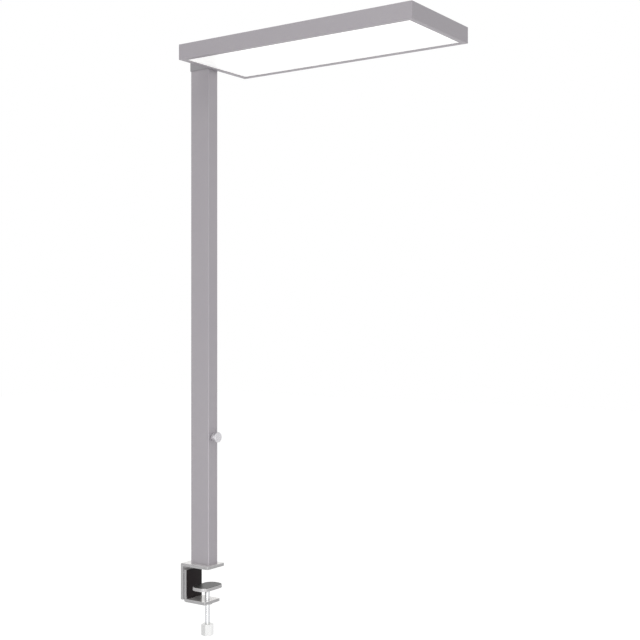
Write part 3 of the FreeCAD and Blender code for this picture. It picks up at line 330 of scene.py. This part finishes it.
def machined_brass():
    """Free-cutting brass straight off the lathe: yellow, with fine rings and a first brown tarnish."""
    material, tree, here = new_finish("machined_brass")
    rings = add(tree, "ShaderNodeMapping", {"Scale": (per_metre(10), per_metre(10), per_metre(0.3))},
                {"Vector": here})
    cut = add(tree, "ShaderNodeTexNoise", {"Scale": 1.0, "Detail": 2.0}, {"Vector": rings.outputs["Vector"]})
    tarnish = add(tree, "ShaderNodeTexNoise", {"Scale": per_metre(5), "Detail": 4.0}, {"Vector": here})
    tone = add(tree, "ShaderNodeMix",
               {**MIX_COLOURS, MIX_FIRST: srgb("#B08D4C"), MIX_SECOND: srgb("#D8B871")},
               {"Factor": tarnish.outputs["Fac"]})
    rough = add(tree, "ShaderNodeMapRange", {"To Min": 0.18, "To Max": 0.34}, {"Value": cut.outputs["Fac"]})
    shader = add(tree, "ShaderNodeBsdfPrincipled", {"Metallic": 1.0},
                 {"Base Color": tone.outputs[MIXED], "Roughness": rough.outputs["Result"]})
    add(tree, "ShaderNodeOutputMaterial", links={"Surface": shader.outputs["BSDF"]})
    return material


def ground_steel():
    """Bright steel bar, ground between centres: a cool grey with fine rings round it."""
    material, tree, here = new_finish("ground_steel")
    rings = add(tree, "ShaderNodeMapping", {"Scale": (per_metre(0.3), per_metre(8), per_metre(8))},
                {"Vector": here})
    grind = add(tree, "ShaderNodeTexNoise", {"Scale": 1.0, "Detail": 2.0},
                {"Vector": rings.outputs["Vector"]})
    tone = add(tree, "ShaderNodeMix",
               {**MIX_COLOURS, MIX_FIRST: srgb("#A4A6A9"), MIX_SECOND: srgb("#C2C3C5")},
               {"Factor": grind.outputs["Fac"]})
    rough = add(tree, "ShaderNodeMapRange", {"To Min": 0.2, "To Max": 0.36}, {"Value": grind.outputs["Fac"]})
    shader = add(tree, "ShaderNodeBsdfPrincipled", {"Metallic": 1.0},
                 {"Base Color": tone.outputs[MIXED], "Roughness": rough.outputs["Result"]})
    add(tree, "ShaderNodeOutputMaterial", links={"Surface": shader.outputs["BSDF"]})
    return material


def moulded_black_nylon():
    """Glass-filled black nylon from a spark-eroded mould: matt, with pale fibre specks in the skin."""
    material, tree, here = new_finish("moulded_black_nylon")
    spark = add(tree, "ShaderNodeTexNoise", {"Scale": per_metre(0.35), "Detail": 2.0}, {"Vector": here})
    fibre = add(tree, "ShaderNodeTexNoise", {"Scale": per_metre(2.5), "Detail": 5.0}, {"Vector": here})
    tone = add(tree, "ShaderNodeMix",
               {**MIX_COLOURS, MIX_FIRST: srgb("#17181A"), MIX_SECOND: srgb("#2A2B2D")},
               {"Factor": fibre.outputs["Fac"]})
    rough = add(tree, "ShaderNodeMapRange", {"To Min": 0.48, "To Max": 0.64}, {"Value": spark.outputs["Fac"]})
    relief = add(tree, "ShaderNodeBump", {"Strength": 0.3, "Distance": 0.03 * MM},
                 {"Height": spark.outputs["Fac"]})
    shader = add(tree, "ShaderNodeBsdfPrincipled", {"Metallic": 0.0, "IOR": 1.53},
                 {"Base Color": tone.outputs[MIXED], "Roughness": rough.outputs["Result"],
                  "Normal": relief.outputs["Normal"]})
    add(tree, "ShaderNodeOutputMaterial", links={"Surface": shader.outputs["BSDF"]})
    return material


def white_solder_mask():
    """Aluminium-cored circuit board under white solder mask: satin white over faint copper lands."""
    material, tree, here = new_finish("white_solder_mask")
    lands = add(tree, "ShaderNodeTexBrick",
                {"Scale": per_metre(40), "Color1": srgb("#E9EAE6"), "Color2": srgb("#F1F2EF"),
                 "Mortar": srgb("#D9DAD4"), "Mortar Size": 0.03}, {"Vector": here})
    skin = add(tree, "ShaderNodeTexNoise", {"Scale": per_metre(0.9), "Detail": 2.0}, {"Vector": here})
    rough = add(tree, "ShaderNodeMapRange", {"To Min": 0.35, "To Max": 0.5}, {"Value": skin.outputs["Fac"]})
    shader = add(tree, "ShaderNodeBsdfPrincipled", {"Metallic": 0.0, "IOR": 1.5},
                 {"Base Color": lands.outputs["Color"], "Roughness": rough.outputs["Result"]})
    add(tree, "ShaderNodeOutputMaterial", links={"Surface": shader.outputs["BSDF"]})
    return material


def phosphor_in_silicone():
    """LED chips filled with phosphor in clear silicone: a warm yellow dome of fine powder."""
    material, tree, here = new_finish("phosphor_in_silicone")
    powder = add(tree, "ShaderNodeTexNoise", {"Scale": per_metre(0.3), "Detail": 3.0}, {"Vector": here})
    tone = add(tree, "ShaderNodeMix",
               {**MIX_COLOURS, MIX_FIRST: srgb("#E3C95A"), MIX_SECOND: srgb("#F3E08A")},
               {"Factor": powder.outputs["Fac"]})
    shader = add(tree, "ShaderNodeBsdfPrincipled", {"Metallic": 0.0, "IOR": 1.41, "Roughness": 0.2},
                 {"Base Color": tone.outputs[MIXED]})
    add(tree, "ShaderNodeOutputMaterial", links={"Surface": shader.outputs["BSDF"]})
    return material


def moulded_white_polycarbonate():
    """Flame-retardant polycarbonate housing: a slightly grey white with a fine etched grain."""
    material, tree, here = new_finish("moulded_white_polycarbonate")
    etch = add(tree, "ShaderNodeTexNoise", {"Scale": per_metre(0.5), "Detail": 2.0}, {"Vector": here})
    flow = add(tree, "ShaderNodeTexNoise", {"Scale": per_metre(25), "Detail": 2.0}, {"Vector": here})
    tone = add(tree, "ShaderNodeMix",
               {**MIX_COLOURS, MIX_FIRST: srgb("#DEDEDA"), MIX_SECOND: srgb("#E9E9E6")},
               {"Factor": flow.outputs["Fac"]})
    rough = add(tree, "ShaderNodeMapRange", {"To Min": 0.38, "To Max": 0.52}, {"Value": etch.outputs["Fac"]})
    relief = add(tree, "ShaderNodeBump", {"Strength": 0.2, "Distance": 0.03 * MM},
                 {"Height": etch.outputs["Fac"]})
    shader = add(tree, "ShaderNodeBsdfPrincipled", {"Metallic": 0.0, "IOR": 1.58},
                 {"Base Color": tone.outputs[MIXED], "Roughness": rough.outputs["Result"],
                  "Normal": relief.outputs["Normal"]})
    add(tree, "ShaderNodeOutputMaterial", links={"Surface": shader.outputs["BSDF"]})
    return material


def extruded_cable_sheath():
    """PVC sheath drawn over the cores: dark grey, with lines along it and a slight waxy shine."""
    material, tree, here = new_finish("extruded_cable_sheath")
    drawn = add(tree, "ShaderNodeMapping", {"Scale": (per_metre(20), per_metre(0.6), per_metre(0.6))},
                {"Vector": here})
    lines = add(tree, "ShaderNodeTexNoise", {"Scale": 1.0, "Detail": 2.0},
                {"Vector": drawn.outputs["Vector"]})
    tone = add(tree, "ShaderNodeMix",
               {**MIX_COLOURS, MIX_FIRST: srgb("#333436"), MIX_SECOND: srgb("#47484B")},
               {"Factor": lines.outputs["Fac"]})
    rough = add(tree, "ShaderNodeMapRange", {"To Min": 0.34, "To Max": 0.5}, {"Value": lines.outputs["Fac"]})
    shader = add(tree, "ShaderNodeBsdfPrincipled", {"Metallic": 0.0, "IOR": 1.53},
                 {"Base Color": tone.outputs[MIXED], "Roughness": rough.outputs["Result"]})
    add(tree, "ShaderNodeOutputMaterial", links={"Surface": shader.outputs["BSDF"]})
    return material


def seamless_studio_paper():
    """The pale floor: matt white paper that shows pure white where nothing shades it."""
    material, tree, here = new_finish("seamless_studio_paper")
    fibre = add(tree, "ShaderNodeTexNoise", {"Scale": per_metre(4), "Detail": 2.0}, {"Vector": here})
    tone = add(tree, "ShaderNodeMix",
               {**MIX_COLOURS, MIX_FIRST: srgb("#F3F3F3"), MIX_SECOND: srgb("#F7F7F7")},
               {"Factor": fibre.outputs["Fac"]})
    paper = add(tree, "ShaderNodeBsdfDiffuse", links={"Color": tone.outputs[MIXED]})
    ray = add(tree, "ShaderNodeLightPath")
    seen = add(tree, "ShaderNodeMath", {"operation": "ADD"},
               {0: ray.outputs["Is Camera Ray"], 1: ray.outputs["Is Glossy Ray"]})
    lift = add(tree, "ShaderNodeMath", {"operation": "MULTIPLY", 1: PAPER_LIFT}, {0: seen.outputs["Value"]})
    glow = add(tree, "ShaderNodeEmission", links={"Strength": lift.outputs["Value"]})
    both = add(tree, "ShaderNodeAddShader", links={0: paper.outputs["BSDF"], 1: glow.outputs["Emission"]})
    add(tree, "ShaderNodeOutputMaterial", links={"Surface": both.outputs["Shader"]})
    return material


FINISHES = {
    "satin_silver_coat": satin_silver_powder_coat,
    "polished_steel": polished_steel_painted_top_light,
    "chromed_steel": bright_chrome,
    "zinc_plated_steel": zinc_plated_steel,
    "dark_rubber": moulded_nitrile_rubber,
    "black_liner": embossed_black_pvc,
    "opal_diffuser": lit_opal_acrylic,
    "white_enamel": white_baked_enamel,
    "turned_aluminium": turned_aluminium,
    "cast_aluminium": sand_cast_aluminium,
    "bearing_brass": machined_brass,
    "steel_shaft": ground_steel,
    "black_plastic": moulded_black_nylon,
    "circuit_board": white_solder_mask,
    "led_phosphor": phosphor_in_silicone,
    "driver_case": moulded_white_polycarbonate,
    "cable_sheath": extruded_cable_sheath,
}


def finish_the_frame():
    """Gives every carried-over node the finish of its slot, and the turning knob one of its own."""
    made = {slot: build() for slot, build in FINISHES.items()}
    for part in frame["record"]["subparts"]:
        frame["nodes"][part["node"]].data.materials.clear()
        frame["nodes"][part["node"]].data.materials.append(made[part["material_slot"]])
    frame["nodes"]["turning_knob"].data.materials[0] = blasted_anodised_aluminium()
    return made


# ---- clamp screw ----

THREAD_LEAD = 3 * MM
THREAD_STARTS = 2
THREAD_DEPTH = 0.1 * MM
THREAD_STEP = 0.25 * MM
THREAD_SIDES = 48
THREAD_RUNOUT = 2 * MM
THREAD_ABOVE_FOOT = 22 * MM
THREAD_BELOW_TOP = 12 * MM
NECK_START = 2 * MM
NECK_END = 10 * MM


def threaded_spindle(chrome):
    """The clamp screw with its fine two-start thread rolled between two plain ends."""
    low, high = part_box("clamp_spindle")
    axis = (low + high) / 2
    outside = (high.x - low.x) / 2
    neck_low, neck_high = high.z - NECK_END, high.z - NECK_START
    thread_low, thread_high = low.z + THREAD_ABOVE_FOOT, high.z - THREAD_BELOW_TOP
    pitch = THREAD_LEAD / THREAD_STARTS
    mesh = bmesh.new()

    def radius(z, turn):
        """The screw's radius at a height and a part of a turn."""
        if neck_low < z < neck_high:
            return outside
        fade = min(z - thread_low, thread_high - z) / THREAD_RUNOUT
        fade = max(0.0, min(1.0, fade))
        phase = (z / pitch - turn * THREAD_STARTS) % 1
        groove = max(0.0, min(1.0, 2 - 5 * abs(phase - 0.5)))
        return outside - THREAD_DEPTH * groove * fade

    rows = round((high.z - low.z) / THREAD_STEP)
    rings = []
    for row in range(rows + 1):
        z = low.z + (high.z - low.z) * row / rows
        ring = []
        for side in range(THREAD_SIDES):
            turn = side / THREAD_SIDES
            reach = radius(z, turn)
            ring.append(mesh.verts.new((axis.x + reach * math.cos(math.tau * turn),
                                        axis.y + reach * math.sin(math.tau * turn), z)))
        rings.append(ring)
    for lower, upper in zip(rings, rings[1:]):
        for side in range(THREAD_SIDES):
            after = (side + 1) % THREAD_SIDES
            mesh.faces.new((lower[side], lower[after], upper[after], upper[side])).smooth = True
    mesh.faces.new(reversed(rings[0]))
    mesh.faces.new(rings[-1])
    data = bpy.data.meshes.new("clamp_screw_thread")
    mesh.to_mesh(data)
    mesh.free()
    data.materials.append(chrome)
    screw = bpy.data.objects.new("clamp_screw_thread", data)
    bpy.context.scene.collection.objects.link(screw)
    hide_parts("clamp_spindle")
    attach(screw, "clamp_screw")


# ---- camera, light and floor ----

CAMERA_PLACE = (1.74771, -2.04721, 0.59403)
CAMERA_TURN = 34.484
LENS_MM = 61.92
SENSOR_MM = 36
SHIFT_UP = 0.00435
FLOOR_DROP = 0.72
FLOOR_HALF = 14
PAPER_LIFT = 0.5
AMBIENT = 0.58
CARD_RADIUS = 1.2
CARD_TOP = -0.15
CARD_STEPS = 24
# Each card's name, the azimuths in degrees it runs between, and how bright it reads, with 1 as white.
CARDS = (
    ("far_left_card", -168, -146, 0.94),
    ("left_card", -146, -84, 0.6),
    ("front_card", -78, 14, 1.12),
    ("right_card", 18, 72, 0.66),
    ("far_right_card", 75, 130, 1.08),
)

# Each soft box's name, place, target, width in metres and watts.
SOFT_BOXES = (
    ("soft_box_above", (1.1, -1.5, 3.1), (0.3, 0, 0.8), 2.2, 31),
    ("soft_box_by_camera", (1.1, -1.5, -0.25), (0, 0, 0.0), 0.9, 13),
)


def photographer():
    data = bpy.data.cameras.new("studio_camera")
    data.lens = LENS_MM
    data.sensor_width = SENSOR_MM
    data.shift_y = SHIFT_UP
    data.clip_end = 100
    camera = bpy.data.objects.new("studio_camera", data)
    camera.location = CAMERA_PLACE
    camera.rotation_euler = (math.radians(90), 0, math.radians(CAMERA_TURN))
    bpy.context.scene.collection.objects.link(camera)
    bpy.context.scene.camera = camera


def soft_light(name, place, target, size, watts):
    """One square soft box, aimed at a point."""
    data = bpy.data.lights.new(name, "AREA")
    data.size = size
    data.energy = watts
    lamp = bpy.data.objects.new(name, data)
    lamp.location = place
    lamp.rotation_euler = (Vector(target) - Vector(place)).to_track_quat("-Z", "Y").to_euler()
    bpy.context.scene.collection.objects.link(lamp)


def studio():
    """A pale room: even light from all round, a soft box overhead and a low one before the clamp."""
    world = bpy.data.worlds.new("pale_studio")
    bpy.context.scene.world = world
    world.use_nodes = True
    tree = world.node_tree
    tree.nodes.clear()
    ray = add(tree, "ShaderNodeLightPath")
    seen = add(tree, "ShaderNodeMath", {"operation": "ADD"},
               {0: ray.outputs["Is Camera Ray"], 1: ray.outputs["Is Glossy Ray"]})
    any_seen = add(tree, "ShaderNodeMath", {"operation": "ADD", "use_clamp": True},
                   {0: seen.outputs["Value"], 1: ray.outputs["Is Transmission Ray"]})
    strength = add(tree, "ShaderNodeMapRange", {"To Min": AMBIENT, "To Max": 1.0},
                   {"Value": any_seen.outputs["Value"]})
    sky = add(tree, "ShaderNodeBackground", {"Color": (1, 1, 1, 1)}, {"Strength": strength.outputs["Result"]})
    add(tree, "ShaderNodeOutputWorld", links={"Surface": sky.outputs["Background"]})
    for box in SOFT_BOXES:
        soft_light(*box)


def grey_felt(name, level):
    """Felt on a reflection card: an even grey that reads the same under any lamp, with a loose nap."""
    material, tree, here = new_finish(name)
    nap = add(tree, "ShaderNodeTexNoise", {"Scale": per_metre(30), "Detail": 2.0}, {"Vector": here})
    strength = add(tree, "ShaderNodeMapRange", {"To Min": level - 0.03, "To Max": level + 0.03},
                   {"Value": nap.outputs["Fac"]})
    felt = add(tree, "ShaderNodeEmission", links={"Strength": strength.outputs["Result"]})
    add(tree, "ShaderNodeOutputMaterial", links={"Surface": felt.outputs["Emission"]})
    return material


def reflection_card(name, start, end, level):
    """A curved card round the clamp, from one azimuth to another, that only reflections see.

    It stands on the floor and draws a soft grey line down each chromed part, as the photographer's
    flags do.
    """
    mesh = bmesh.new()
    low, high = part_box("clamp_spindle")
    axis = (low + high) / 2
    strip = []
    for step in range(CARD_STEPS + 1):
        turn = math.radians(start + (end - start) * step / CARD_STEPS)
        x, y = axis.x + CARD_RADIUS * math.cos(turn), axis.y + CARD_RADIUS * math.sin(turn)
        strip.append((mesh.verts.new((x, y, -FLOOR_DROP)), mesh.verts.new((x, y, CARD_TOP))))
    for (foot, top), (next_foot, next_top) in zip(strip, strip[1:]):
        mesh.faces.new((foot, next_foot, next_top, top))
    data = bpy.data.meshes.new(name)
    mesh.to_mesh(data)
    mesh.free()
    data.materials.append(grey_felt(name, level))
    card = bpy.data.objects.new(name, data)
    for ray in ("camera", "diffuse", "transmission", "volume_scatter", "shadow"):
        setattr(card, "visible_" + ray, False)
    bpy.context.scene.collection.objects.link(card)


def paper_floor():
    """A wide flat sheet of studio paper, at the height of the floor under a desk."""
    mesh = bmesh.new()
    corners = ((-FLOOR_HALF, -FLOOR_HALF), (FLOOR_HALF, -FLOOR_HALF),
               (FLOOR_HALF, FLOOR_HALF), (-FLOOR_HALF, FLOOR_HALF))
    mesh.faces.new([mesh.verts.new((x, y, -FLOOR_DROP)) for x, y in corners])
    data = bpy.data.meshes.new("studio_floor")
    mesh.to_mesh(data)
    mesh.free()
    data.materials.append(seamless_studio_paper())
    floor = bpy.data.objects.new("studio_floor", data)
    bpy.context.scene.collection.objects.link(floor)


# ---- the whole scene ----

photographer()
studio()
paper_floor()
for side, start, end, level in CARDS:
    reflection_card(side, start, end, level)
finishes = finish_the_frame()
threaded_spindle(finishes["chromed_steel"])

scene = bpy.context.scene
scene.view_settings.view_transform = "Standard"
